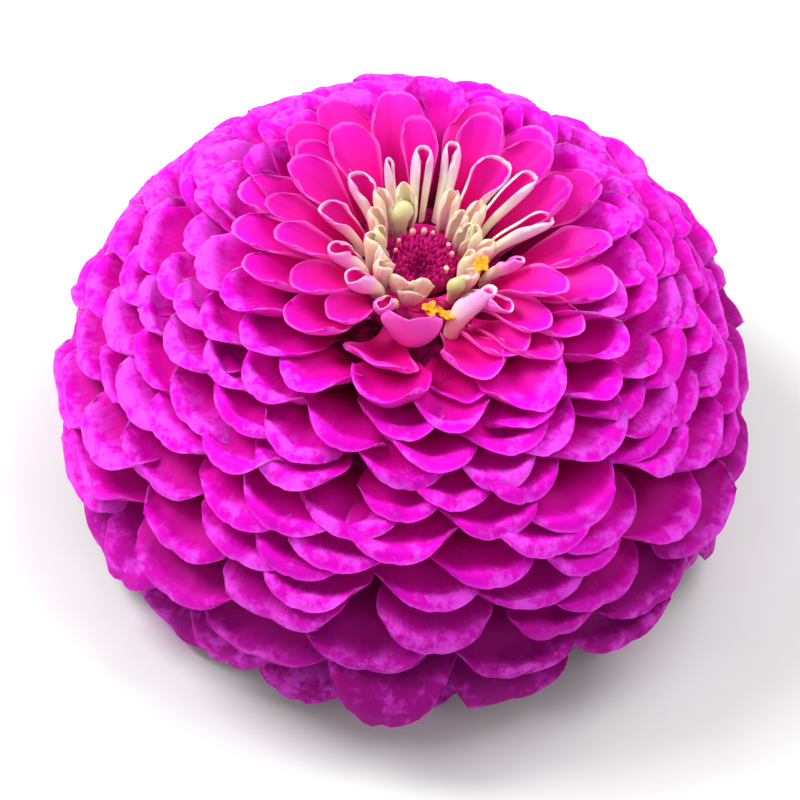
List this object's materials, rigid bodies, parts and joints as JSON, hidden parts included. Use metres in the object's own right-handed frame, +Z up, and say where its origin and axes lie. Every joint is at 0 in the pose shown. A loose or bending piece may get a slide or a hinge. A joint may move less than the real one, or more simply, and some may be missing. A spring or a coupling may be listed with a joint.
{
  "type": "zinnia flower head",
  "caption": "Fully double magenta zinnia bloom: a dome of overlapping ray petals round a dark disc, on a green involucre and a short cut stem.",
  "frame": {"origin": "centre of the cut stem's flat end, on the surface the bloom stands on", "axes": "+Z up the bloom's axis, from the cut stem to the disc; -Y towards the side the picture shows"},
  "size_m": [0.1012, 0.1015, 0.0546],
  "materials": {
    "stem_green": "matte",
    "involucre_green": "matte",
    "outer_petal": "matte",
    "crown_petal": "matte",
    "young_ray_cream": "matte",
    "disc_floret": "matte"
  },
  "bodies": {
    "root": {"stem": "stem_green", "involucre": "involucre_green", "outer_petals": "outer_petal", "crown_petals": "crown_petal", "young_rays": "young_ray_cream", "disc": "disc_floret"}
  },
  "joints": []
}
